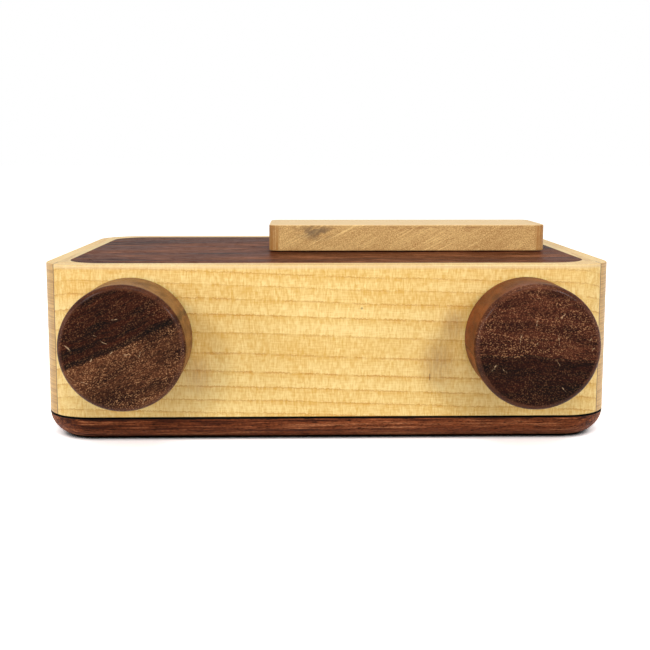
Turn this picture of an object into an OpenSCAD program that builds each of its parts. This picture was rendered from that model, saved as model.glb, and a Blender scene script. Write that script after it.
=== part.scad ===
// Wooden roll-film pinhole camera, lying on its back.
// Millimetres. +Z is the way the camera looks, -Y is its top edge with the two winding knobs.
// The origin is the middle of the footprint, on the surface that the back lies on.

/* [Body] */
// Width of the body, across both film chambers
body_width = 132.3; // [132:0.1:140]
// Height of the body, from the knob side to the tripod side
body_height = 84.5; // [84.5:0.5:92]
// Depth of the four maple boards, front to back
board_depth = 35.2; // [35:0.2:42]
// Thickness of the maple boards
board_thick = 8; // [7.6:0.1:8.2]
// Thickness of the maple caps over the ends of the boards
end_cap_thick = 3.1; // [2.5:0.1:3.5]
// Radius of the upright corners
corner_radius = 11; // [9:0.5:12]
// Rounding of the sanded edges
edge_soft = 0.3; // [0.2:0.1:0.6]

/* [Front panel] */
// Thickness of the walnut front panel
panel_thick = 3.5; // [3.2:0.1:3.6]
// Width of the maple rim that shows round the panel
rim_width = 4.9; // [4:0.1:5.2]
// Corner radius of the panel
panel_corner = 9.2; // [7:0.1:9.5]
// Diameter of the flare in front of the pinhole
flare_front = 9; // [7:0.5:10]
// Diameter of the flare where it meets the pinhole plate
flare_back = 3; // [2:0.5:4]
// Diameter of the pinhole
pinhole_diameter = 0.25; // [0.2:0.05:0.4]

/* [Back] */
// Thickness of the walnut back
back_thick = 5.5; // [5.5:0.1:6]
// Radius of the rounding that runs from the floor up to the seam
back_round = 6.2; // [6:0.1:7]
// Gap between the back and the maple boards
seam_gap = 0.3; // [0.3:0.05:0.5]
// Thickness of the black board inside the back
pressure_board_thick = 2.5; // [2:0.1:2.6]
// Diameter of the red frame-counting window
window_diameter = 7; // [6:0.5:8]

/* [Knobs] */
// Diameter of the winding knobs
knob_diameter = 27.7; // [24:0.1:28]
// How far the knobs stand out from the body
knob_reach = 14.2; // [12:0.1:16]
// Distance between the two knob axes
knob_spacing = 89.7; // [89:0.1:90.4]
// Height of the knob axes above the surface
knob_axis_z = 24.5; // [24.3:0.1:24.6]
// Rounding of the front edge of a knob
knob_round = 1.3; // [0.8:0.1:2]

/* [Shutter] */
// Length of the sliding shutter bar
shutter_length = 71.2; // [69.5:0.1:73]
// Width of the shutter bar
shutter_width = 22.1; // [21.5:0.1:24]
// Thickness of the shutter bar
shutter_thick = 6.7; // [6:0.1:7.5]
// Distance of the bar's middle from the middle of the body
shutter_middle_x = 21; // [20:0.1:22]
// Distance of the bar's near edge from the knob side of the body
shutter_near = 31.2; // [30.7:0.1:31.7]
// How far the bar slides to uncover the pinhole
shutter_travel = 20; // [20:0.5:21]

/* [Film] */
// Length of a film spool over its flanges
spool_length = 65.6; // [65:0.1:65.8]
// Diameter of the spool flanges
spool_flange = 25.1; // [24.8:0.1:25.2]
// Diameter of the spool core
spool_core = 12; // [11:0.5:13]
// Side of the square film gate
gate_size = 56; // [54:0.5:56]

/* [Hidden] */
$fn = 96;
cut = 1;

// Places along the camera's height and depth
knob_face_y = knob_reach - (body_height + knob_reach) / 2;
tripod_face_y = knob_face_y + body_height;
middle_y = knob_face_y + body_height / 2;
board_low = back_thick + seam_gap;
front_z = board_low + board_depth;
panel_low = front_z - panel_thick;
inside_width = body_width - 2 * board_thick;
inside_height = body_height - 2 * board_thick;
cap_face_x = body_width / 2 - end_cap_thick;

// Film path
felt_thick = 0.7;
felt_margin = [4, 6];
film_space = 1;
gate_low = back_thick + pressure_board_thick + film_space;
gate_thick = 1.6;
wall_low = gate_low + gate_thick;
wall_thick = 3;
gate_ledge = 0.6;
wall_inner_x = gate_size / 2 + gate_ledge;
wall_outer_x = wall_inner_x + wall_thick;

// Knobs and spindles
knob_x = knob_spacing / 2;
washer_gap = 0.1;
washer_thick = 0.4;
washer_radius = 10;
washer_clear = 0.3;
knob_back = washer_thick + 2 * washer_gap;
spindle_radius = 4;
spindle_fit = 0.02;
spindle_in_knob = 9;
key_thick = 1.9;
key_length = 4.5;
bush_radius = 5.5;
bush_flange_radius = 7.5;
bush_flange_thick = 1;
glue_gap = 0.02;

// Film spools
spool_end_gap = (inside_height - 2 * bush_flange_thick - spool_length) / 2;
spool_near_y = knob_face_y + board_thick + bush_flange_thick + spool_end_gap;
flange_thick = 1.3;
pivot_radius = 2.75;
pivot_fit = 0.08;
pivot_reach = 4;
pivot_shank = 6;
key_clear = 0.2;
slot_width = key_thick + 2 * key_clear;
slot_length = 2 * (spindle_radius + key_clear);
slot_depth = key_length + 1;
tongue_slot_width = 2;
tongue_slot_length = 46;

// Front panel
panel_fit = 0.05;

// Shutter
shutter_gap = 0.3;
shutter_low = front_z + shutter_gap;
shutter_middle_y = knob_face_y + shutter_near + shutter_width / 2;
shutter_corner = 2.5;
guide_y = middle_y + 8.2;
guide_pin_x = [13.5, 35.5];
guide_pin_radius = 1.4;
guide_pin_clear = 0.3;
guide_groove_radius = guide_pin_radius + guide_pin_clear;
guide_groove_depth = 1.8;
guide_pin_in_bar = 4;

// Magnets
magnet_fit = 0.05;
back_magnet_radius = 2;
back_magnet_thick = 3;
back_magnet_inset = 3.9;
back_magnet_x = 54;
shutter_magnet_radius = 3;
shutter_magnet_thick = 2;
shutter_magnet_x = 36;
shutter_magnet_y = middle_y + 2;

// Pinhole plate and its clamp
plate_size = 12;
plate_thick = 0.2;
clamp_size = 20;
clamp_thick = 1.2;
clamp_hole = 8;
clamp_corner = 3;
screw_offset = 7.3;
screw_radius = 0.9;
screw_fit = 0.1;
screw_head_radius = 1.8;
screw_head_thick = 0.9;
screw_in_panel = 2.2;

// Tripod bush
bush_thread_radius = 2.55;
tripod_bush_radius = 4.75;
tripod_bush_length = 7;
tripod_z = board_low + board_depth / 2;

// Counting window and its slider
window_seat = 2;
window_disc_radius = window_diameter / 2 + window_seat;
window_sight_radius = window_diameter / 2 + 1;
window_disc_thick = 1.5;
window_clear = 0.1;
slider_low_x = -8;
slider_length = 30;
slider_width = 12;
slider_corner = 1;
slider_thick = 1.2;
slider_low_z = 0.4;
slider_travel = 12;
slider_clear = 0.3;
pocket_depth = 1.8;
rivet_x = 18;
rivet_radius = 1;
rivet_head_radius = 2.2;
rivet_head_thick = 0.25;
rivet_head_low = 0.1;
rivet_top = 4.5;
dish_radius = 2.6;
dish_depth = 0.5;
dish_x = -3;

// Light seals of the back
trap_clear = 0.3;
gasket_outer = 6.1;
gasket_inner = 7.7;
gasket_clear = 0.1;
gasket_thick = seam_gap - gasket_clear;

maple = [0.93, 0.78, 0.55];
walnut = [0.42, 0.25, 0.18];
black = [0.06, 0.06, 0.06];
brass = [0.78, 0.61, 0.30];
nickel = [0.75, 0.75, 0.77];
ruby = [0.65, 0.05, 0.05];

// Shared outlines

// One quarter of a disc, in the quadrant that the two signs name
module quarter_disc(radius, sign_x, sign_y) {
    intersection() {
        circle(radius);
        translate([sign_x < 0 ? -2 * radius : 0, sign_y < 0 ? -2 * radius : 0])
            square(2 * radius);
    }
}

// Section from an axis out to a wall whose lower and upper edges are rounded
module wall_section(reach, height, low_round, high_round) {
    square([reach - low_round, low_round]);
    translate([reach - low_round, low_round])
        quarter_disc(low_round, 1, -1);
    translate([0, low_round])
        square([reach, height - low_round - high_round]);
    translate([0, height - high_round])
        square([reach - high_round, high_round]);
    translate([reach - high_round, height - high_round])
        quarter_disc(high_round, 1, 1);
}

// Section from an axis out to an arc that leaves the floor flat and ends at the top edge
module bowl_section(reach, height, radius) {
    inset = sqrt(radius * radius - pow(radius - height, 2));
    square([reach - inset, height]);
    intersection() {
        translate([reach - inset, radius])
            circle(radius);
        translate([reach - inset, 0])
            square([inset, height]);
    }
}

// Slab with round upright corners, whose edge all round has the section given as its child
module edged_slab(width, depth, height, corner) {
    run_x = width - 2 * corner;
    run_y = depth - 2 * corner;
    translate([-run_x / 2, -run_y / 2, 0])
        cube([run_x, run_y, height]);
    for (side = [0:3]) {
        across = side % 2 == 0 ? run_x : run_y;
        along = side % 2 == 0 ? run_y : run_x;
        rotate(90 * side) {
            translate([across / 2, 0, 0])
                rotate([90, 0, 0])
                    linear_extrude(along, center = true)
                        children();
            translate([across / 2, along / 2, 0])
                rotate_extrude(angle = 90)
                    children();
        }
    }
}

// Slab with round upright corners and slightly rounded edges
module soft_slab(width, depth, height, corner) {
    edged_slab(width, depth, height, corner)
        wall_section(corner, height, edge_soft, edge_soft);
}

// Flat plate with round corners and square edges
module round_plate(width, depth, height, corner) {
    linear_extrude(height) {
        square([width - 2 * corner, depth], center = true);
        square([width, depth - 2 * corner], center = true);
        for (x = [-1, 1])
            for (y = [-1, 1])
                translate([x * (width / 2 - corner), y * (depth / 2 - corner)])
                    quarter_disc(corner, x, y);
    }
}

// Slot with round ends between two places along X
module round_slot(from_x, to_x, radius, height) {
    linear_extrude(height) {
        translate([from_x, -radius])
            square([to_x - from_x, 2 * radius]);
        translate([from_x, 0])
            rotate(90)
                half_disc(radius);
        translate([to_x, 0])
            rotate(-90)
                half_disc(radius);
    }
}

module half_disc(radius) {
    quarter_disc(radius, 1, 1);
    quarter_disc(radius, -1, 1);
}

// Turns an upright shape so that its axis runs along +Y from a given point
module along_y(x, y, z) {
    translate([x, y, z])
        rotate([-90, 0, 0])
            children();
}

// Disc magnets at the four corners of the back
module corner_discs(radius, low_z, thick) {
    for (x = [-1, 1])
        for (y = [knob_face_y + back_magnet_inset, tripod_face_y - back_magnet_inset])
            translate([x * back_magnet_x, y, low_z])
                cylinder(r = radius, h = thick);
}

// The back

module back_cover() {
    color(walnut)
        difference() {
            translate([0, middle_y, 0])
                edged_slab(body_width, body_height, back_thick, corner_radius)
                    bowl_section(corner_radius, back_thick, back_round);
            slider_pocket();
            translate([0, middle_y, 0])
                cylinder(d = window_diameter, h = back_thick);
            translate([0, middle_y, back_thick - window_disc_thick])
                cylinder(r = window_disc_radius + magnet_fit, h = window_disc_thick + cut);
            translate([rivet_x, middle_y, pocket_depth - cut])
                cylinder(r = rivet_radius + glue_gap, h = rivet_top - pocket_depth + cut);
            corner_discs(back_magnet_radius + magnet_fit, back_thick - back_magnet_thick,
                         back_magnet_thick + cut);
        }
}

module slider_pocket() {
    pocket_length = slider_length + slider_travel + 2 * slider_clear;
    pocket_width = slider_width + 2 * slider_clear;
    translate([slider_low_x - slider_clear, middle_y - pocket_width / 2, -cut])
        cube([pocket_length, pocket_width, pocket_depth + cut]);
}

module pressure_board() {
    color(black)
        translate([0, middle_y, back_thick])
            difference() {
                translate([0, 0, pressure_board_thick / 2])
                    cube([inside_width - 2 * trap_clear, inside_height - 2 * trap_clear,
                          pressure_board_thick], center = true);
                translate([0, 0, -cut])
                    cylinder(r = window_sight_radius, h = pressure_board_thick + 2 * cut);
            }
}

module pressure_felt() {
    color(black)
        translate([0, middle_y, back_thick + pressure_board_thick])
            difference() {
                translate([0, 0, felt_thick / 2])
                    cube([gate_size + felt_margin[0], gate_size + felt_margin[1], felt_thick], center = true);
                translate([0, 0, -cut])
                    cylinder(r = window_sight_radius, h = felt_thick + 2 * cut);
            }
}

module light_gasket() {
    color(black)
        translate([0, middle_y, back_thick])
            difference() {
                round_plate(body_width - 2 * gasket_outer, body_height - 2 * gasket_outer,
                            gasket_thick, corner_radius - gasket_outer);
                translate([0, 0, gasket_thick / 2])
                    cube([body_width - 2 * gasket_inner, body_height - 2 * gasket_inner,
                          gasket_thick + 2 * cut], center = true);
            }
}

module back_magnets() {
    color(nickel)
        corner_discs(back_magnet_radius, back_thick - back_magnet_thick, back_magnet_thick);
}

module red_window() {
    color(ruby)
        translate([0, middle_y, back_thick - window_disc_thick])
            cylinder(r = window_disc_radius, h = window_disc_thick - window_clear);
}

module slider_rivet() {
    color(brass)
        translate([rivet_x, middle_y, 0]) {
            translate([0, 0, rivet_head_low])
                cylinder(r = rivet_head_radius, h = rivet_head_thick);
            translate([0, 0, rivet_head_low + rivet_head_thick])
                cylinder(r = rivet_radius, h = rivet_top - rivet_head_low - rivet_head_thick);
        }
}

module window_slider() {
    color(brass)
        translate([0, middle_y, slider_low_z])
            difference() {
                translate([slider_low_x + slider_length / 2, 0, 0])
                    round_plate(slider_length, slider_width, slider_thick, slider_corner);
                translate([0, 0, -cut])
                    round_slot(rivet_x - slider_travel, rivet_x, rivet_radius + slider_clear,
                               slider_thick + 2 * cut);
                translate([dish_x, 0, -cut])
                    cylinder(r = dish_radius, h = dish_depth + cut);
            }
}

// The maple body: four boards, with a cap over each end

// All the boards as one ring, with the rabbet that holds the front panel
module board_ring() {
    difference() {
        translate([0, middle_y, board_low])
            soft_slab(body_width, body_height, board_depth, corner_radius);
        translate([0, middle_y, board_low + board_depth / 2])
            cube([inside_width, inside_height, board_depth + 2 * cut], center = true);
        translate([0, middle_y, panel_low])
            round_plate(body_width - 2 * rim_width, body_height - 2 * rim_width,
                        panel_thick + cut, panel_corner);
    }
}

// Part of the ring between two places along X and two along Y
module ring_piece(from, to) {
    intersection() {
        board_ring();
        translate([from[0], from[1], board_low - cut])
            cube([to[0] - from[0], to[1] - from[1], board_depth + 2 * cut]);
    }
}

module magnet_pockets() {
    corner_discs(back_magnet_radius + magnet_fit, board_low - cut, back_magnet_thick + cut);
}

module top_board() {
    color(maple)
        difference() {
            ring_piece([-cap_face_x, knob_face_y - cut], [cap_face_x, knob_face_y + board_thick]);
            for (side = [-1, 1])
                along_y(side * knob_x, knob_face_y - cut, knob_axis_z)
                    cylinder(r = bush_radius + glue_gap, h = board_thick + 2 * cut);
            magnet_pockets();
        }
}

module base_board() {
    color(maple)
        difference() {
            ring_piece([-cap_face_x, tripod_face_y - board_thick], [cap_face_x, tripod_face_y + cut]);
            for (side = [-1, 1])
                along_y(side * knob_x, tripod_face_y - board_thick - cut, knob_axis_z)
                    cylinder(r = pivot_radius + glue_gap, h = pivot_shank + cut);
            along_y(0, tripod_face_y - tripod_bush_length, tripod_z)
                cylinder(r = tripod_bush_radius + glue_gap, h = tripod_bush_length + cut);
            magnet_pockets();
        }
}

// Inner board of an end, between the top board and the base board
module end_board(side) {
    color(maple)
        mirror([side < 0 ? 1 : 0, 0, 0])
            ring_piece([inside_width / 2, knob_face_y + board_thick],
                       [cap_face_x, tripod_face_y - board_thick]);
}

// Outer board of an end, which covers the end grain of the other boards
module end_cap(side) {
    color(maple)
        mirror([side < 0 ? 1 : 0, 0, 0])
            ring_piece([cap_face_x, knob_face_y - cut], [body_width / 2 + cut, tripod_face_y + cut]);
}

// The front panel and the pinhole behind it

module front_panel() {
    color(walnut)
        difference() {
            translate([0, middle_y, panel_low])
                round_plate(body_width - 2 * rim_width - 2 * panel_fit,
                            body_height - 2 * rim_width - 2 * panel_fit,
                            panel_thick, panel_corner - panel_fit);
            translate([0, middle_y, panel_low])
                flare();
            translate([0, guide_y, front_z - guide_groove_depth])
                round_slot(guide_pin_x[0], guide_pin_x[1] + shutter_travel,
                           guide_groove_radius, guide_groove_depth + cut);
            panel_magnet_places(shutter_magnet_radius + magnet_fit, panel_low - cut,
                                shutter_magnet_thick + cut);
            screw_places(panel_low - cut)
                cylinder(r = screw_radius + glue_gap, h = screw_in_panel + cut);
        }
}

// Cone that opens from the pinhole plate to the front face
module flare() {
    slope = (flare_front - flare_back) / panel_thick;
    translate([0, 0, -cut])
        cylinder(d1 = flare_back - cut * slope, d2 = flare_front + cut * slope,
                 h = panel_thick + 2 * cut);
}

module screw_places(z) {
    for (x = [-1, 1])
        for (y = [-1, 1])
            translate([x * screw_offset, middle_y + y * screw_offset, z])
                children();
}

module panel_magnet_places(radius, low_z, thick) {
    for (x = [shutter_magnet_x, shutter_magnet_x + shutter_travel])
        translate([x, shutter_magnet_y, low_z])
            cylinder(r = radius, h = thick);
}

module pinhole_plate() {
    color(brass)
        translate([0, middle_y, panel_low - plate_thick])
            difference() {
                translate([0, 0, plate_thick / 2])
                    cube([plate_size, plate_size, plate_thick], center = true);
                translate([0, 0, -cut])
                    cylinder(d = pinhole_diameter, h = plate_thick + 2 * cut);
            }
}

module pinhole_clamp() {
    color(black)
        difference() {
            translate([0, middle_y, panel_low - plate_thick - clamp_thick])
                round_plate(clamp_size, clamp_size, clamp_thick, clamp_corner);
            translate([0, middle_y, panel_low - plate_thick - clamp_thick - cut])
                cylinder(d = clamp_hole, h = clamp_thick + 2 * cut);
            screw_places(panel_low - plate_thick - clamp_thick - cut)
                cylinder(r = screw_radius + screw_fit, h = clamp_thick + 2 * cut);
        }
}

module clamp_screws() {
    clamp_low = panel_low - plate_thick - clamp_thick;
    color(brass)
        screw_places(clamp_low) {
            translate([0, 0, -screw_head_thick])
                cylinder(r = screw_head_radius, h = screw_head_thick);
            cylinder(r = screw_radius, h = clamp_thick + plate_thick + screw_in_panel);
        }
}

// The light chamber

module chamber_wall(side) {
    color(black)
        translate([side * (wall_inner_x + wall_thick / 2), middle_y, (wall_low + panel_low) / 2])
            cube([wall_thick, inside_height, panel_low - wall_low], center = true);
}

// Frame that the film runs across, with its two long edges fully rounded
module film_gate() {
    edge = gate_thick / 2;
    color(black)
        translate([0, middle_y, gate_low])
            difference() {
                rotate([90, 0, 0])
                    linear_extrude(inside_height, center = true) {
                        translate([edge - wall_outer_x, 0])
                            square([2 * (wall_outer_x - edge), gate_thick]);
                        translate([wall_outer_x - edge, edge])
                            rotate(-90)
                                half_disc(edge);
                        translate([edge - wall_outer_x, edge])
                            rotate(90)
                                half_disc(edge);
                    }
                translate([0, 0, gate_thick / 2])
                    cube([gate_size, gate_size, gate_thick + 2 * cut], center = true);
            }
}

// Bushes, pivots and magnets set into the wood

module spindle_bush(side) {
    length = board_thick + bush_flange_thick;
    color(brass)
        along_y(side * knob_x, knob_face_y, knob_axis_z)
            difference() {
                union() {
                    cylinder(r = bush_radius, h = board_thick);
                    translate([0, 0, board_thick])
                        cylinder(r = bush_flange_radius, h = bush_flange_thick);
                }
                translate([0, 0, -cut])
                    cylinder(r = spindle_radius + spindle_fit, h = length + 2 * cut);
            }
}

module spool_pivot(side) {
    inner_face_y = tripod_face_y - board_thick;
    color(brass)
        along_y(side * knob_x, inner_face_y, knob_axis_z) {
            cylinder(r = pivot_radius, h = pivot_shank);
            translate([0, 0, -bush_flange_thick])
                cylinder(r = bush_flange_radius, h = bush_flange_thick);
            translate([0, 0, -bush_flange_thick - spool_end_gap - pivot_reach])
                cylinder(r = pivot_radius, h = spool_end_gap + pivot_reach);
        }
}

module tripod_bush() {
    color(brass)
        along_y(0, tripod_face_y - tripod_bush_length, tripod_z)
            difference() {
                cylinder(r = tripod_bush_radius, h = tripod_bush_length);
                translate([0, 0, -cut])
                    cylinder(r = bush_thread_radius, h = tripod_bush_length + 2 * cut);
            }
}

module body_magnets() {
    color(nickel)
        corner_discs(back_magnet_radius, board_low, back_magnet_thick);
}

module panel_magnets() {
    color(nickel)
        panel_magnet_places(shutter_magnet_radius, panel_low, shutter_magnet_thick);
}

// The shutter

module shutter_bar() {
    color(maple)
        difference() {
            translate([shutter_middle_x, shutter_middle_y, shutter_low])
                soft_slab(shutter_length, shutter_width, shutter_thick, shutter_corner);
            for (x = guide_pin_x)
                translate([x, guide_y, shutter_low - cut])
                    cylinder(r = guide_pin_radius + glue_gap, h = guide_pin_in_bar + cut);
            translate([shutter_magnet_x, shutter_magnet_y, shutter_low - cut])
                cylinder(r = shutter_magnet_radius + magnet_fit, h = shutter_magnet_thick + cut);
        }
}

module shutter_pins() {
    pin_low = front_z - guide_groove_depth + guide_pin_clear;
    color(brass)
        for (x = guide_pin_x)
            translate([x, guide_y, pin_low])
                cylinder(r = guide_pin_radius, h = shutter_low + guide_pin_in_bar - pin_low);
}

module shutter_magnet() {
    color(nickel)
        translate([shutter_magnet_x, shutter_magnet_y, shutter_low])
            cylinder(r = shutter_magnet_radius, h = shutter_magnet_thick);
}

// The winding knobs

module felt_washer(side) {
    color(black)
        along_y(side * knob_x, knob_face_y - washer_gap - washer_thick, knob_axis_z)
            difference() {
                cylinder(r = washer_radius, h = washer_thick);
                translate([0, 0, -cut])
                    cylinder(r = spindle_radius + washer_clear, h = washer_thick + 2 * cut);
            }
}

module knob(side) {
    length = knob_reach - knob_back;
    color(walnut)
        along_y(side * knob_x, knob_face_y - knob_reach, knob_axis_z)
            difference() {
                rotate_extrude()
                    wall_section(knob_diameter / 2, length, knob_round, edge_soft);
                translate([0, 0, length - spindle_in_knob])
                    cylinder(r = spindle_radius + glue_gap, h = spindle_in_knob + cut);
            }
}

// Round shaft whose end is cut to a flat key that turns the spool
module spindle(side) {
    start_y = knob_face_y - knob_back - spindle_in_knob;
    round_length = spool_near_y - spool_end_gap - start_y;
    whole_length = spool_near_y + key_length - start_y;
    color(brass)
        along_y(side * knob_x, start_y, knob_axis_z) {
            cylinder(r = spindle_radius, h = round_length);
            intersection() {
                cylinder(r = spindle_radius, h = whole_length);
                translate([0, 0, whole_length / 2 + round_length / 2])
                    cube([key_thick, 3 * spindle_radius, whole_length - round_length], center = true);
            }
        }
}

// The film spools

module spool(side) {
    color(black)
        along_y(side * knob_x, spool_near_y, knob_axis_z)
            difference() {
                union() {
                    translate([0, 0, flange_thick])
                        cylinder(d = spool_core, h = spool_length - 2 * flange_thick);
                    for (z = [0, spool_length - flange_thick])
                        translate([0, 0, z])
                            cylinder(d = spool_flange, h = flange_thick);
                }
                translate([0, 0, -cut])
                    spool_end_hole();
                translate([0, 0, spool_length + cut])
                    mirror([0, 0, 1])
                        spool_end_hole();
                translate([0, 0, spool_length / 2])
                    cube([tongue_slot_width, 2 * spool_core, tongue_slot_length], center = true);
            }
}

// Round hole crossed by the slot for the key, at one end of a spool
module spool_end_hole() {
    cylinder(r = pivot_radius + pivot_fit, h = slot_depth + cut);
    translate([-slot_width / 2, -slot_length / 2, 0])
        cube([slot_width, slot_length, slot_depth + cut]);
}

back_cover();
pressure_board();
pressure_felt();
light_gasket();
back_magnets();
red_window();
slider_rivet();
window_slider();
top_board();
base_board();
end_board(-1);  // left_end_board
end_board(1);  // right_end_board
end_cap(-1);  // left_end_cap
end_cap(1);  // right_end_cap
front_panel();
pinhole_plate();
pinhole_clamp();
clamp_screws();
chamber_wall(-1);  // left_chamber_wall
chamber_wall(1);  // right_chamber_wall
film_gate();
spindle_bush(-1);  // left_spindle_bush
spindle_bush(1);  // right_spindle_bush
spool_pivot(-1);  // left_spool_pivot
spool_pivot(1);  // right_spool_pivot
tripod_bush();
body_magnets();
panel_magnets();
shutter_bar();
shutter_pins();
shutter_magnet();
felt_washer(-1);  // left_washer
felt_washer(1);  // right_washer
knob(-1);  // left_knob
spindle(-1);  // left_spindle
knob(1);  // right_knob
spindle(1);  // right_spindle
spool(-1);  // supply_spool
spool(1);  // take_up_spool
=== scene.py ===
"""Looks of a wooden roll-film pinhole camera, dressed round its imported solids.

Objects are in metres, in the part's own frame. Places and sizes below are in millimetres.
"""

import math

import bmesh
import bpy
from mathutils import Matrix, Vector, noise


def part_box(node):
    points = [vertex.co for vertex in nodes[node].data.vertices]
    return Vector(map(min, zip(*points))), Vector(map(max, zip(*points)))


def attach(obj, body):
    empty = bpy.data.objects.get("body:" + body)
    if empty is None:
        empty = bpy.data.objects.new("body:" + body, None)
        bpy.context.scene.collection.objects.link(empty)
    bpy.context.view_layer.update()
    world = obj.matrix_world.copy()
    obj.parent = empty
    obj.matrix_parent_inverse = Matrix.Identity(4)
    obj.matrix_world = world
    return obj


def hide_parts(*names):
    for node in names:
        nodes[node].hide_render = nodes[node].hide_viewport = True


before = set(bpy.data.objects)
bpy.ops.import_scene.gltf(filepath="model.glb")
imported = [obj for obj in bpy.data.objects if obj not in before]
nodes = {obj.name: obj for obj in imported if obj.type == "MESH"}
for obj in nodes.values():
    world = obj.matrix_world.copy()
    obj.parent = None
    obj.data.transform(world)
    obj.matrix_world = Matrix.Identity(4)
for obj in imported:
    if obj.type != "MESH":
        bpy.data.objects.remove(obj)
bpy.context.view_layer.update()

MM = 0.001

# Places read from the frame
knob_low, knob_high = (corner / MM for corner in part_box("right_knob"))
KNOB_X = (knob_low.x + knob_high.x) / 2
KNOB_Z = (knob_low.z + knob_high.z) / 2
KNOB_RADIUS = (knob_high.z - knob_low.z) / 2
board_low, board_high = (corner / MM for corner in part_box("top_board"))
cap_low, cap_high = (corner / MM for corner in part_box("right_end_cap"))
CAP_FACE = cap_low.x
HALF_WIDTH = cap_high.x
TOP_FACE = board_low.y
BASE_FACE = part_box("base_board")[1].y / MM
MIDDLE_Y = (TOP_FACE + BASE_FACE) / 2
BOARD_THICK = board_high.y - board_low.y
SEAM_Z = board_low.z
FRONT_Z = board_high.z


# Node materials written as arithmetic

# Sockets of a Mix node for colours: first colour, second colour and share, and its result
MIX_COLOUR_INPUTS = (6, 7, 0)
MIX_COLOUR_OUTPUT = 2


def srgb(red, green, blue):
    """The shader's colour for values from 0 to 255 as a screen shows them."""
    def linear(value):
        share = value / 255
        return share / 12.92 if share <= 0.04045 else ((share + 0.055) / 1.055) ** 2.4
    return (linear(red), linear(green), linear(blue), 1.0)


def turned(x, y, angle):
    """Two fields turned by an angle, along and across the new direction."""
    cosine, sine = math.cos(angle), math.sin(angle)
    return x * cosine + y * sine, y * cosine - x * sine


class Field:
    """A number that varies over a surface, with the usual arithmetic."""

    def __init__(self, surface, socket):
        self.surface = surface
        self.socket = socket

    def __add__(self, other):
        return self.surface.math("ADD", self, other)

    def __radd__(self, other):
        return self.surface.math("ADD", other, self)

    def __sub__(self, other):
        return self.surface.math("SUBTRACT", self, other)

    def __rsub__(self, other):
        return self.surface.math("SUBTRACT", other, self)

    def __mul__(self, other):
        return self.surface.math("MULTIPLY", self, other)

    def __rmul__(self, other):
        return self.surface.math("MULTIPLY", other, self)

    def __truediv__(self, other):
        return self.surface.math("DIVIDE", self, other)

    def __abs__(self):
        return self.surface.math("ABSOLUTE", self)


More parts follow.
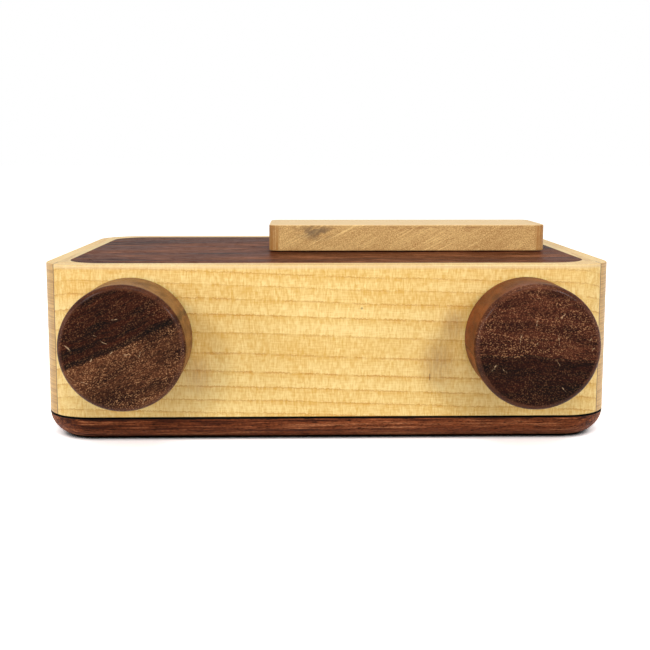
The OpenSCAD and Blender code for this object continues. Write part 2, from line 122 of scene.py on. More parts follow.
class Surface:
    """A material whose fields are in millimetres of the part's frame."""

    def __init__(self, name, **constants):
        self.material = bpy.data.materials.new(name)
        self.material.use_nodes = True
        self.tree = self.material.node_tree
        self.shader = self.tree.nodes["Principled BSDF"]
        for socket, value in constants.items():
            self.shader.inputs[socket.replace("_", " ")].default_value = value
        place = self.node("ShaderNodeTexCoord").outputs["Object"]
        millimetres = self.vector("SCALE", place)
        millimetres.node.inputs["Scale"].default_value = 1 / MM
        parts = self.node("ShaderNodeSeparateXYZ", Vector=millimetres).outputs
        self.x, self.y, self.z = (Field(self, socket) for socket in parts)
        self.place = millimetres

    def feed(self, socket, value):
        """Links a field or an output to a socket, or sets the socket to a constant."""
        if isinstance(value, Field):
            value = value.socket
        if isinstance(value, bpy.types.NodeSocket):
            self.tree.links.new(value, socket)
        else:
            socket.default_value = value

    def node(self, kind, **inputs):
        """A new node with some of its inputs fed."""
        node = self.tree.nodes.new(kind)
        for name, value in inputs.items():
            self.feed(node.inputs[name.replace("_", " ")], value)
        return node

    def math(self, operation, *values):
        """A field worked out from fields and numbers."""
        node = self.node("ShaderNodeMath")
        node.operation = operation
        for socket, value in zip(node.inputs, values):
            self.feed(socket, value)
        return Field(self, node.outputs[0])

    def vector(self, operation, *values):
        """A vector worked out from vectors."""
        node = self.node("ShaderNodeVectorMath")
        node.operation = operation
        for socket, value in zip(node.inputs, values):
            self.feed(socket, value)
        return node.outputs[0]

    def facing(self, axis):
        """How far the surface faces along an axis, either way: 1 for square to it."""
        normal = self.node("ShaderNodeTexCoord").outputs["Normal"]
        return abs(Field(self, self.node("ShaderNodeSeparateXYZ", Vector=normal).outputs[axis]))

    def grain(self, along, across, through, start=0):
        """Lays the wood so that its fibres follow the first field, from another stretch of the plank."""
        self.along, self.across, self.through = along, across, through
        joined = self.node("ShaderNodeCombineXYZ", X=along + start, Y=across, Z=through)
        self.place = joined.outputs[0]

    def noise(self, size, detail=2.0, rough=0.5, twist=0.0):
        """Noise about 0.5 whose patches have the given sizes along the place's three axes."""
        texture = self.node("ShaderNodeTexNoise", Vector=self.vector("DIVIDE", self.place, size),
                            Scale=1.0, Detail=detail, Roughness=rough, Distortion=twist)
        return Field(self, texture.outputs["Fac"])

    def cells(self, size):
        """A fresh value from 0 to 1 for each boxy cell of about the given sizes."""
        texture = self.node("ShaderNodeTexVoronoi", Vector=self.vector("DIVIDE", self.place, size),
                            Scale=1.0, Randomness=0.9)
        texture.distance = "CHEBYCHEV"
        parts = self.node("ShaderNodeSeparateColor", Color=texture.outputs["Color"]).outputs
        return Field(self, parts[0])

    def random(self, field, seed=0):
        """A fresh value from 0 to 1 for each whole number of the field."""
        texture = self.node("ShaderNodeTexWhiteNoise")
        texture.noise_dimensions = "1D"
        self.feed(texture.inputs["W"], field + seed)
        return Field(self, texture.outputs["Value"])

    def step(self, field, low, high):
        """Rises smoothly from 0 at low to 1 at high."""
        node = self.node("ShaderNodeMapRange", Value=field, From_Min=low, From_Max=high)
        node.interpolation_type = "SMOOTHSTEP"
        return Field(self, node.outputs["Result"])

    def between(self, field, low, high, soft):
        """1 between two values and 0 outside them."""
        return self.step(field, low - soft, low + soft) * (1 - self.step(field, high - soft, high + soft))

    def length(self, *fields):
        """Length of the vector whose components are the fields."""
        total = fields[0] * fields[0]
        for field in fields[1:]:
            total = total + field * field
        return self.math("SQRT", total)

    def mix(self, first, second, share):
        """The first colour where the share is 0, and the second where it is 1."""
        node = self.node("ShaderNodeMix")
        node.data_type = "RGBA"
        for index, value in zip(MIX_COLOUR_INPUTS, (first, second, share)):
            self.feed(node.inputs[index], value)
        return node.outputs[MIX_COLOUR_OUTPUT]

    def brighten(self, colour, factor):
        """A colour times a factor."""
        scaled = self.vector("SCALE", colour)
        self.feed(scaled.node.inputs["Scale"], factor)
        return scaled

    def finish(self, colour, rough=None, relief=None):
        """Connects the colour, the roughness and the relief in millimetres."""
        self.feed(self.shader.inputs["Base Color"], colour)
        if rough is not None:
            self.feed(self.shader.inputs["Roughness"], rough)
        if relief is not None:
            bump = self.node("ShaderNodeBump", Height=relief, Distance=MM)
            self.feed(self.shader.inputs["Normal"], bump.outputs["Normal"])
        return self.material


# Woods

# Colours of the boards and caps
BLACK = srgb(15, 14, 14)
GLUE = srgb(92, 62, 46)
MAPLE = (srgb(223, 173, 82), srgb(253, 223, 151))
GROWTH_LINE = srgb(196, 134, 54)
# Painted highlight along the top front edge
EDGE_HIGHLIGHT_MAPLE = srgb(236, 207, 160)
# Painted shade for the patches beside the knobs
KNOB_SHADE = srgb(172, 128, 84)
BRUISE = srgb(110, 70, 40)
END_GRAIN = (srgb(210, 166, 100), srgb(170, 124, 68))

# Colours of the bar
SAWN_MAPLE = (srgb(154, 103, 44), srgb(239, 201, 131))
# End grain, partly painted shade on the rounded ends
SHADED_END_GRAIN = srgb(160, 104, 32)
CHIPPED = srgb(150, 104, 54)
# Painted light on the faces square to Z, the top among them
TOP_LIGHT_MAPLE = srgb(246, 214, 158)
GRIME = srgb(96, 72, 48)

# Colours of the knobs
GROWTH_BORDER = srgb(18, 8, 5)
SPECK = srgb(186, 136, 94)
SCRATCH = srgb(214, 176, 136)
# Painted sheen on the knobs' rounded edges
EDGE_SHEEN = (srgb(72, 30, 12), srgb(124, 70, 36))

# Painted shade and marks on the board between the knobs: place along and up it, and the reach of each
# patch of painted shade beside a knob
KNOB_SHADE_PATCHES = ((-30.0, 15.7, 4.5), (25.0, 18.5, 6.0), (28.3, 27.5, 4.0))
NICK = (23.2, 15.1)
PIN_KNOT = (7.5, 31.1)

# Widths of lines and edges, and the two insets between which the painted sheen on a knob's rounded edge
# begins
JOINT_LINE = 0.2
# Band of painted highlight along the top front edge
EDGE_HIGHLIGHT_BAND = 1.2
# The seam's black edge is painted shade in the gap
SEAM_EDGE = 0.13
PAINT_EDGE = 0.05
EDGE_SHEEN_INSETS = (1.3, 0.9)

# The bar's saw marks, smudge of grime and darker ends of end grain, partly painted shade on the rounded
# corners
SAW_RISE = math.radians(28)
SMUDGE = (-2.5, 46.2)
BAR_END_SHADE = 2.9

# Scratches on a knob's face: right and up from its middle, slant in degrees, length
LEFT_SCRATCHES = ((-11.4, 0.4, -55, 1.9), (-5.4, 3.0, -20, 0.9), (-3.6, 1.4, -35, 1.8),
                  (-2.4, -0.6, 60, 1.0), (-6.4, -2.3, -50, 0.8), (-7.9, -7.0, -10, 1.6),
                  (-1.2, 6.4, 35, 1.2), (3.8, -1.2, 80, 1.6), (1.2, -1.0, 25, 1.4),
                  (4.9, -11.2, 35, 1.3))
RIGHT_SCRATCHES = ((5.1, 7.0, 50, 1.5), (4.3, 1.8, 80, 2.6), (11.0, 2.3, 85, 1.6),
                   (12.0, -0.4, 35, 1.0), (4.1, -3.3, -55, 1.9), (-9.5, -4.2, 30, 1.9),
                   (-7.0, -4.8, -40, 1.6), (5.6, -9.4, -60, 1.6), (-0.3, 5.4, 80, 1.4),
                   (-4.0, 2.0, 85, 2.0), (-0.3, 1.0, 40, 0.6))


def blacken(s, colour, distance, reach=PAINT_EDGE):
    """Black on a hidden face, given as a field of the distance to it: paint, and at the seam also painted
    shade in the gap.
    """
    return s.mix(BLACK, colour, s.step(distance, 0.4 * reach, 1.2 * reach))


def growth_rings(s, first, spacing, slope, lean, sway):
    """Ring number as a field, counted down from the first ring, which falls along the board."""
    bend = s.noise((60, 24, 24), detail=2) - 0.5
    jag = s.noise((0.6, 1.5, 1.5), detail=2) - 0.5
    height = s.across + slope * s.along + lean * s.through + sway * bend + 0.8 * jag
    count = (first - height) / spacing
    return count + 0.35 * s.math("SINE", count * 0.7)


def oiled_maple(s, start, first):
    """Colour, roughness and relief of maple with thin growth lines, upright flecks and a painted
    highlight along the top edge.
    """
    ring = growth_rings(s, first, spacing=3.6, slope=0.033, lean=0.35, sway=1.6)
    phase = s.math("FRACT", ring)
    strength = s.random(s.math("FLOOR", ring), start)
    broken = s.step(s.noise((3, 2, 2), detail=3), 0.36, 0.56)
    line = (1 - s.step(phase, 0.03, 0.14)) * (broken * 0.8 + 0.2) * (strength * 0.5 + 0.5)
    shade = (1 - s.step(phase, 0.05, 0.6)) * (strength * 0.8 + 0.2)
    blotch = s.noise((34, 18, 18), detail=2)
    fleck = s.noise((0.3, 1.7, 1.7), detail=1)
    block = s.cells((0.5, 1.6, 1.6))
    weave = s.noise((2.4, 0.3, 0.3), detail=1)
    fibre = s.noise((9, 0.14, 0.14), detail=2)
    pale = 0.5 + (blotch - 0.5) * 0.8 + (fleck - 0.5) * 1.0 + (block - 0.5) * 0.28 + (weave - 0.5) * 0.65
    pale = pale + (strength - 0.5) * 0.2 + (fibre - 0.5) * 0.3 - shade * 0.3
    colour = s.mix(*MAPLE, s.step(pale, -0.1, 1.0))
    colour = s.mix(colour, GROWTH_LINE, line * 0.7)
    # Painted highlight in a pale band below the top, weaker on the top face
    edge_highlight = s.step(s.z, FRONT_Z - EDGE_HIGHLIGHT_BAND, FRONT_Z - 0.3 * EDGE_HIGHLIGHT_BAND)
    rim = s.step(s.facing("Z"), 0.5, 0.95)
    colour = s.mix(colour, EDGE_HIGHLIGHT_MAPLE, edge_highlight * (1 - rim * 0.75) * 0.65)
    rough = 0.45 + (fibre - 0.5) * 0.2 + (fleck - 0.5) * 0.12
    relief = fibre * 0.012 + fleck * 0.01 - line * 0.01
    return colour, rough, relief


def paint_inside_and_shade_seam(s, colour):
    """Black paint on a board's inner face, and black on the face that meets the back, which is painted
    shade in the seam's gap.
    """
    return blacken(s, blacken(s, colour, BOARD_THICK - s.through), s.z - SEAM_Z, SEAM_EDGE)


def knob_shade_and_marks(s, colour):
    """Painted shade in streaky patches beside the knobs, and a nick and a pin knot, on the board between
    the knobs.
    """
    streak = s.step(s.noise((0.5, 3.5, 3.5), detail=2), 0.3, 0.7)
    # Each patch is painted shade beside a knob
    for x, z, reach in KNOB_SHADE_PATCHES:
        near = 1 - s.step(s.length(s.x - x, (s.z - z) * 0.7), 0.1 * reach, reach)
        colour = s.mix(colour, KNOB_SHADE, near * (streak * 0.5 + 0.5) * 0.5)
    nick = (1 - s.step(abs(s.x - NICK[0]), 0.08, 0.22)) * (1 - s.step(abs(s.z - NICK[1]), 0.5, 1.0))
    knot = 1 - s.step(s.length(s.x - PIN_KNOT[0], s.z - PIN_KNOT[1]), 0.1, 0.4)
    return s.mix(colour, BRUISE, s.math("MAXIMUM", nick, knot) * 0.6)


def maple_board(name, depth, start, first, between_knobs=False):
    """Long board of the box, with a dark glue line where the end caps meet it."""
    s = Surface(name, Specular_IOR_Level=0.3)
    s.grain(s.x, s.z, depth(s), start)
    colour, rough, relief = oiled_maple(s, start, first)
    if between_knobs:
        colour = knob_shade_and_marks(s, colour)
    glued = 1 - s.step(CAP_FACE - abs(s.x), 0.5 * JOINT_LINE, 1.2 * JOINT_LINE)
    colour = s.mix(colour, GLUE, glued)
    return s.finish(paint_inside_and_shade_seam(s, colour), rough, relief)


def maple_end(name, depth, start, first, tone=1.0):
    """End board or cap, whose sawn end grain is darker and ridged."""
    s = Surface(name, Specular_IOR_Level=0.3)
    s.grain(s.y, s.z, depth(s), start)
    colour, rough, relief = oiled_maple(s, start, first)
    ridge = s.step(s.noise((40, 0.3, 6), detail=2), 0.35, 0.65)
    sawn = s.step(s.facing("Y"), 0.05, 0.4)
    colour = s.mix(s.brighten(colour, tone), s.mix(*END_GRAIN, ridge), sawn * 0.85)
    return s.finish(paint_inside_and_shade_seam(s, colour), rough, relief)


def saw_marks(s):
    """Pale saw lines that are broken where worn, a broad sweep under them and blotches of grime.

    All follow the slant of the saw, which the surface's places keep from here on.
    """
    up_saw, across_saw = turned(s.x, s.z + s.y * 0.4, SAW_RISE)
    s.grain(up_saw, across_saw, s.y)
    worn = s.step(s.noise((6, 3, 6), detail=2), 0.4, 0.62)
    saw = s.step(s.noise((11, 0.32, 20), detail=1), 0.55, 0.68) * (worn * 0.8 + 0.2)
    sweep = s.noise((40, 2.4, 20), detail=1)
    grime = s.noise((3.0, 1.2, 3.0), detail=3)
    return saw, sweep, grime


def maple_bar():
    """Maple bar with speckled sawn faces, slanting saw marks, darker end grain that is partly painted
    shade, painted light on its top and bottom, and a smudge of grime.
    """
    low, high = (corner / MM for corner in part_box("shutter_bar"))
    middle, half = (low.x + high.x) / 2, (high.x - low.x) / 2
    s = Surface("maple_bar", Specular_IOR_Level=0.45)
    s.grain(s.x, s.z, s.y, start=310)
    cloud = s.noise((12, 5, 8), detail=2)
    speckle = s.noise((0.25, 0.21, 0.25), detail=2, rough=0.6)
    fibre = s.noise((6, 0.14, 0.14), detail=2)
    chips = s.step(s.noise((2.2, 0.5, 1.5), detail=2), 0.52, 0.66)
    ribs = s.noise((0.3, 9, 0.3), detail=2)
    saw, sweep, grime = saw_marks(s)
    pale = 0.38 + (cloud - 0.5) * 0.3 + (speckle - 0.5) * 2.5 + (fibre - 0.5) * 0.3
    pale = pale + saw * 0.5 + (sweep - 0.5) * 0.5
    colour = s.mix(*SAWN_MAPLE, s.step(pale, -0.3, 1.3))
    # Darker end grain at both ends, partly painted shade on the rounded corners
    ends = s.step(abs(s.x - middle), half - BAR_END_SHADE, half - 0.7 * BAR_END_SHADE)
    ends = ends * s.step(ribs * 0.5 + speckle * 0.5, 0.36, 0.6)
    colour = s.mix(colour, SHADED_END_GRAIN, ends)
    # Painted light: the faces square to Z are lighter than the sawn faces
    top_light = s.step(s.facing("Z"), 0.3, 0.9)
    chipped = s.between(s.z, high.z - 1.1, high.z - 0.5, 0.3) * chips
    colour = s.mix(colour, CHIPPED, chipped * (1 - top_light) * 0.7)
    colour = s.mix(colour, TOP_LIGHT_MAPLE, top_light * 0.75)
    near = 1 - s.step(s.length((s.x - SMUDGE[0]) * 0.45, s.z - SMUDGE[1]), 0.4, 3.0)
    colour = s.mix(colour, GRIME, near * s.step(grime, 0.34, 0.56) * (1 - top_light) * 0.8)
    rough = 0.55 + (speckle - 0.5) * 0.2
    relief = saw * 0.015 + speckle * 0.02 + fibre * 0.012
    return s.finish(colour, rough, relief)


def walnut(name, tones, lay, start, band, streak, thread, grit, specular, rough, hidden):
    """Open-pored walnut with bands, streaks, threads and dark pores along its fibres.

    The lay function gives the directions along, across and through the fibres. A band, streak or
    thread is given by its length and width, and the grit by its contrast. The hidden function gives
    the distance to the face that is painted black.
    """
    s = Surface(name, Specular_IOR_Level=specular)
    s.grain(*lay(s), start)
    bands, streaks, threads = (s.noise((length, width, width), detail=3, rough=0.55)
                               for length, width in (band, streak, thread))
    specks = s.noise((0.6, 0.3, 0.3), detail=2)
    pores = s.step(s.noise((2.6, 0.22, 0.22), detail=2), 0.54, 0.64)
    dark, middle, light = tones
    colour = s.mix(dark, middle, s.step(bands * 0.4 + streaks * 0.3 + threads * 0.3, 0.42, 0.53))
    colour = s.mix(colour, light, s.step(bands * 0.2 + streaks * 0.4 + threads * 0.4, 0.52, 0.62))
    colour = s.brighten(colour, 1 - pores * 0.65 + (specks - 0.5) * grit)
    # Black on the hidden face: paint on the panel's inner face, and painted shade in the seam's gap on
    # the back
    colour = blacken(s, colour, hidden(s), SEAM_EDGE)
    relief = streaks * 0.03 - pores * 0.03
    return s.finish(colour, rough + (streaks - 0.5) * 0.3 + pores * 0.2, relief)


def scratched(s, colour, x, z, scratches):
    """Pale scratches on a knob's face, each a little bowed and broken."""
    bow = (s.noise((1.8, 1.8, 1.8), detail=1) - 0.5) * 2.0
    broken = s.step(s.noise((0.45, 0.45, 0.45), detail=1), 0.4, 0.55)
    for right, up, degrees, length in scratches:
        run, apart = turned(x - right, z - up, math.radians(degrees))
        stroke = 1 - s.step(abs(run), 0.2 * length, 0.6 * length)
        stroke = stroke * (1 - s.step(abs(apart + bow), 0.02, 0.15))
        colour = s.mix(colour, SCRATCH, stroke * (broken * 0.6 + 0.1))
    return colour


def walnut_knob(name, side, start, rise, split, seam, above, below, rim, specks, scratches):
    """Dark turned walnut: two growths that meet in a dark line, bright specks and pale scratches.

    The grain rises to the right by an angle. The growths meet at a distance from the knob's middle,
    the split, in a line of the seam's width. The specks are given for the growths above and below it.
    """
    s = Surface(name, Specular_IOR_Level=0.05, Coat_Roughness=0.16)
    x, z = s.x - side * KNOB_X, s.z - KNOB_Z
    along, across = turned(x, z, rise)
    sway = (s.noise((9, 9, 40), detail=2) - 0.5) * 3.0
    s.grain(along, across + sway, s.y, start)
    over = s.step(s.across, split - 0.2, split + 0.3)
    border = s.between(s.across, split + 0.1, split + seam, 0.3 * seam)
    stripe = s.noise((16, 2.2, 6), detail=3)
    fine = s.noise((5, 0.3, 0.6), detail=2)
    grit = s.noise((0.3, 0.24, 0.4), detail=2)
    cloud = s.noise((9, 5, 9), detail=2)
    pores = s.step(s.noise((1.5, 0.18, 0.4), detail=2), 0.55, 0.66)
    patch = s.step(s.noise((8, 3.5, 9), detail=2), 0.4, 0.62)
    speck = s.step(grit, 0.52, 0.7)
    tone = s.step(stripe * 0.5 + fine * 0.25 + cloud * 0.25, 0.36, 0.66)
    colour = s.mix(s.mix(*below, tone), s.mix(*above, tone), over)
    colour = s.mix(colour, GROWTH_BORDER, border * 0.85)
    colour = s.brighten(colour, 0.92 - pores * 0.6 + (grit - 0.5) * 2.2 + patch * 0.16)
    share = specks[1] + (specks[0] - specks[1]) * over
    turned_edge = s.step(s.length(x, z), *(KNOB_RADIUS - inset for inset in EDGE_SHEEN_INSETS))
    colour = s.mix(colour, SPECK, speck * (patch * 0.6 + 0.4) * share)
    # Painted sheen, lighter all round the rounded edge
    colour = s.mix(colour, s.mix(*EDGE_SHEEN, tone), turned_edge * 0.36)
    colour = scratched(s, colour, x, z, scratches)
    # The side's colours, paler than the face, are the wood and partly a painted reflection of the maple
    # board
    face = s.step(s.facing("Y"), 0.02, 0.3)
    colour = s.mix(s.brighten(s.mix(*rim, tone), 1 - border * 0.5), colour, face)
    s.feed(s.shader.inputs["Coat Weight"], turned_edge * 0.13)
    rough = 0.5 + (fine - 0.5) * 0.25 + pores * 0.2
    relief = fine * 0.012 - pores * 0.03
    return s.finish(colour, rough, relief)


# Other finishes

def black_paint(name, rough_middle):
    """Matt black paint with a fine grit and a cloudy tone."""
    s = Surface(name, Specular_IOR_Level=0.3)
    grit = s.noise((0.35, 0.35, 0.35), detail=3)
    cloud = s.noise((9, 9, 9), detail=2)
    colour = s.mix(srgb(20, 20, 21), srgb(38, 37, 36), s.step(cloud * 0.6 + grit * 0.4, 0.35, 0.68))
    return s.finish(colour, rough_middle + (grit - 0.5) * 0.2, grit * 0.02)


def black_felt():
    """Pressed felt with fibres, tufts and paler clumps."""
    s = Surface("black_felt", Roughness=0.95, Sheen_Weight=0.2, Sheen_Roughness=0.6,
                Specular_IOR_Level=0.1)
    fibre = s.noise((0.12, 0.12, 0.12), detail=4, rough=0.7, twist=2.0)
    tuft = s.noise((0.5, 0.5, 0.5), detail=2, twist=1.0)
    clump = s.noise((1.6, 1.6, 1.6), detail=2)
    pale = s.step(fibre * 0.4 + tuft * 0.35 + clump * 0.25, 0.38, 0.64)
    colour = s.mix(srgb(10, 10, 11), srgb(58, 57, 57), pale)
    return s.finish(colour, relief=fibre * 0.08 + tuft * 0.12)


def brass():
    """Turned brass with fine rings and some tarnish."""
    s = Surface("brass", Metallic=1.0)
    rings = s.noise((0.9, 0.09, 0.9), detail=2)
    tarnish = s.noise((3, 3, 3), detail=3)
    colour = s.mix(srgb(222, 184, 110), srgb(168, 124, 62), s.step(tarnish, 0.38, 0.72))
    return s.finish(colour, 0.26 + (rings - 0.5) * 0.2 + tarnish * 0.12, rings * 0.006)


def nickel():
    """Plated magnets, lightly scuffed."""
    s = Surface("nickel", Metallic=1.0)
    scuff = s.noise((0.08, 1.4, 1.4), detail=2)
    cloud = s.noise((2, 2, 2), detail=2)
    colour = s.mix(srgb(214, 214, 212), srgb(178, 176, 172), s.step(cloud, 0.4, 0.7))
    return s.finish(colour, 0.18 + (scuff - 0.5) * 0.2, scuff * 0.004)


def ruby_acrylic():
    """Clear red sheet with a little haze."""
    s = Surface("ruby_acrylic", Transmission_Weight=0.85, IOR=1.49)
    haze = s.noise((1.2, 1.2, 1.2), detail=2)
    colour = s.mix(srgb(190, 10, 12), srgb(150, 4, 8), s.step(haze, 0.35, 0.7))
    return s.finish(colour, 0.08 + haze * 0.08, haze * 0.003)


def black_plastic():
    """Moulded plastic with a fine grain."""
    s = Surface("black_plastic", Specular_IOR_Level=0.45)
    grain = s.noise((0.25, 0.25, 0.25), detail=2)
    flow = s.noise((8, 8, 8), detail=2)
    colour = s.mix(srgb(24, 24, 25), srgb(36, 36, 37), flow)
    return s.finish(colour, 0.38 + (grain - 0.5) * 0.16, grain * 0.012)


def dress(material, *names):
    """Gives CAD nodes a material."""
    for name in names:
        mesh = nodes[name].data
        mesh.materials.clear()
        mesh.materials.append(material)


def dress_woods():
    """Maple and walnut for the boards, caps, bar, panel, back and knobs."""
    dress(maple_board("maple_top", lambda s: s.y - TOP_FACE, start=0, first=38.7, between_knobs=True),
          "top_board")
    dress(maple_board("maple_base", lambda s: BASE_FACE - s.y, start=420, first=40.2), "base_board")
    for name, start, tone, depth in (("left", 840, 0.9, lambda s: s.x + HALF_WIDTH),
                                     ("right", 1260, 0.94, lambda s: HALF_WIDTH - s.x)):
        dress(maple_end(f"maple_{name}_end", depth, start, first=39, tone=tone), f"{name}_end_board")
        dress(maple_end(f"maple_{name}_cap", depth, start + 210, first=40), f"{name}_end_cap")
    dress(maple_bar(), "shutter_bar")
    panel_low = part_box("front_panel")[0].z / MM
    back_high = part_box("back_cover")[1].z / MM
    dress(walnut("walnut_panel", (srgb(52, 22, 10), srgb(104, 55, 31), srgb(152, 95, 62)),
                 lay=lambda s: (s.x, s.y, s.z), start=640, band=(130, 12), streak=(40, 5),
                 thread=(9, 1.5), grit=1.0, specular=0.014, rough=0.42,
                 hidden=lambda s: s.z - panel_low), "front_panel")
    dress(walnut("walnut_back", (srgb(62, 27, 15), srgb(134, 71, 41), srgb(186, 117, 78)),
                 lay=lambda s: (0 - s.x, s.z, s.y), start=500, band=(130, 4), streak=(30, 0.9),
                 thread=(9, 0.4), grit=2.0, specular=0.06, rough=0.5,
                 hidden=lambda s: back_high - s.z), "back_cover")
    # Each knob's rim colours are partly a painted reflection of the maple board
    dress(walnut_knob("walnut_left_knob", side=-1, start=0, rise=math.radians(24), split=0.4, seam=1.3,
                      above=(srgb(16, 4, 2), srgb(66, 28, 15)), below=(srgb(40, 17, 9), srgb(96, 56, 35)),
                      rim=(srgb(104, 66, 36), srgb(158, 112, 64)), specks=(0.3, 0.8),
                      scratches=LEFT_SCRATCHES), "left_knob")
    dress(walnut_knob("walnut_right_knob", side=1, start=700, rise=math.radians(-2), split=-2.7, seam=0.5,
                      above=(srgb(50, 20, 12), srgb(96, 50, 33)), below=(srgb(8, 2, 1), srgb(48, 18, 10)),
                      rim=(srgb(80, 36, 17), srgb(130, 66, 32)), specks=(0.75, 0.2),
                      scratches=RIGHT_SCRATCHES), "right_knob")


def dress_fittings():
    """Paint, metals, acrylic and plastic for the other CAD nodes."""
    dress(black_paint("black_board", rough_middle=0.75),
          "pressure_board", "left_chamber_wall", "right_chamber_wall")
    dress(black_paint("black_metal", rough_middle=0.5), "pinhole_clamp", "film_gate")
    dress(BRASS, "slider_rivet", "window_slider", "pinhole_plate", "left_spindle_bush",
          "right_spindle_bush", "left_spool_pivot", "right_spool_pivot", "shutter_pins",
          "left_spindle", "right_spindle")
    dress(nickel(), "back_magnets", "body_magnets", "panel_magnets", "shutter_magnet")
    dress(ruby_acrylic(), "red_window")
    dress(black_plastic(), "supply_spool", "take_up_spool")


# Pieces modelled here: the felts, the tripod thread and the clamp's screws

BRASS = brass()
FELT = black_felt()
ROUND_POINTS = 96
SHARP_ANGLE = math.radians(50)

# Felts: the nap's depth as a share of the height and its size, and the sizes of the cuts
NAP = 0.12
NAP_SIZE = 0.6
WASHER_CLEAR = 0.3
GASKET_STRIP = 1.6
GASKET_CORNER = 4.9
CUT_CORNER = 0.3
SIGHT_RADIUS = 4.5

# Tripod thread: its groove peaks above 1, where it is cut flat, and falls by so much per pitch
THREAD_PITCH = 1.27
THREAD_MINOR = 2.55
THREAD_MAJOR = 3.17
THREAD_ROWS = 10
GROOVE_PEAK = 1.25
GROOVE_FALL = 3.0
BUSH_CHAMFER = 0.25
MOUTH_CHAMFER = 0.9

# Clamp screws: radii, heights, the slot's half width, depth and taper, and the turn from slot to slot
SCREW_POINTS = 48
SCREW_HEAD = 1.8
SCREW_SHANK = 0.9
SCREW_TIP = 0.4
HEAD_THICK = 0.9
HEAD_CROWN = 0.65
CROWN_STEPS = (0, 0.3, 0.6, 0.85, 1)
SLOT_HALF = 0.2
SLOT_DEPTH = 0.45
SLOT_TAPER = 0.97
SLOT_TURN = 0.9


def add_piece(name, skins, material, body, node, capped=False):
    """Closed skins through rings in millimetres, riding on a body in place of a CAD node.

    A skin's rings follow each other in a loop, or are capped at both ends.
    """
    points, faces = [], []
    for rings in skins:
        start, around = len(points), len(rings[0])
        rows = [range(start + row * around, start + (row + 1) * around) for row in range(len(rings))]
        pairs = list(zip(rows, rows[1:]))
        if capped:
            faces += [tuple(rows[0]), tuple(rows[-1])]
        else:
            pairs.append((rows[-1], rows[0]))
        for near, far in pairs:
            faces += [(near[column - 1], near[column], far[column], far[column - 1])
                      for column in range(around)]
        points += [Vector(point) * MM for ring in rings for point in ring]
    mesh = bpy.data.meshes.new(name)
    mesh.from_pydata(points, [], faces)
    mesh.materials.append(material)
    skin = bmesh.new()
    skin.from_mesh(mesh)
    bmesh.ops.recalc_face_normals(skin, faces=skin.faces)
    skin.to_mesh(mesh)
    skin.free()
    mesh.shade_smooth()
    mesh.set_sharp_from_angle(angle=SHARP_ANGLE)
    piece = bpy.data.objects.new(name, mesh)
    bpy.context.scene.collection.objects.link(piece)
    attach(piece, body)
    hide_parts(node)
    return piece


def circle(radius, count):
    """Points round a circle, from its +X side."""
    angles = [2 * math.pi * index / count for index in range(count)]
    return [Vector((radius * math.cos(angle), radius * math.sin(angle))) for angle in angles]


def rounded_rectangle(width, depth, corner, run_points, bend_points):
    """Points round a rectangle with round corners, from the start of its +X side."""
    points = []
    for side in range(4):
        reach, run = ((width, depth) if side % 2 == 0 else (depth, width))
        turn = Matrix.Rotation(-side * math.pi / 2, 2)
        middle = Vector((reach / 2 - corner, run / 2 - corner))
        for index in range(run_points):
            along = (2 * index / run_points - 1) * middle.y
            points.append(Vector((reach / 2, along)) @ turn)
        for index in range(bend_points):
            angle = index / bend_points * math.pi / 2
            points.append((middle + corner * Vector((math.cos(angle), math.sin(angle)))) @ turn)
    return points


def felt_section(half, flats, bends=4):
    """Section of a felt pad, as share of the way across, distance from that edge and height."""
    angles = [math.pi * (step / bends - 0.5) for step in range(bends + 1)]
    rounded = [(half * (1 - math.cos(angle)), half * math.sin(angle)) for angle in angles]
    shares = [step / flats for step in range(1, flats)]
    section = [(0, inset, height) for inset, height in rounded]
    section += [(share, 0, half) for share in shares]
    section += [(1, -inset, -height) for inset, height in rounded]
    section += [(1 - share, 0, -half) for share in shares]
    return section


def add_felt(name, node, body, inner, outer, low, high, place, flats):
    """Felt pad between two outlines, with rounded edges and an uneven nap, laid by the place function."""
    middle, half = (low + high) / 2, (high - low) / 2
    rings = []
    for share, inset, height in felt_section(half, flats):
        ring = []
        for near, far in zip(inner, outer):
            flat = near.lerp(far, share) + (far - near).normalized() * inset
            worn = abs(noise.noise(Vector((flat.x, flat.y, height)) / NAP_SIZE))
            ring.append(place(flat, middle + height * (1 - NAP * worn)))
        rings.append(ring)
    add_piece(name, [rings], FELT, body, node)


def add_washers():
    """Felt rings under the knobs."""
    for side, name in ((-1, "left"), (1, "right")):
        low, high = (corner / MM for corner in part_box(f"{name}_washer"))
        shaft_low, shaft_high = (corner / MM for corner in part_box(f"{name}_spindle"))
        hole = (shaft_high.x - shaft_low.x) / 2 + WASHER_CLEAR
        add_felt(f"{name}_felt_ring", f"{name}_washer", f"{name}_felt", circle(hole, ROUND_POINTS),
                 circle((high.x - low.x) / 2, ROUND_POINTS), low.y, high.y,
                 lambda flat, height: (side * KNOB_X + flat.x, height, KNOB_Z + flat.y), flats=8)


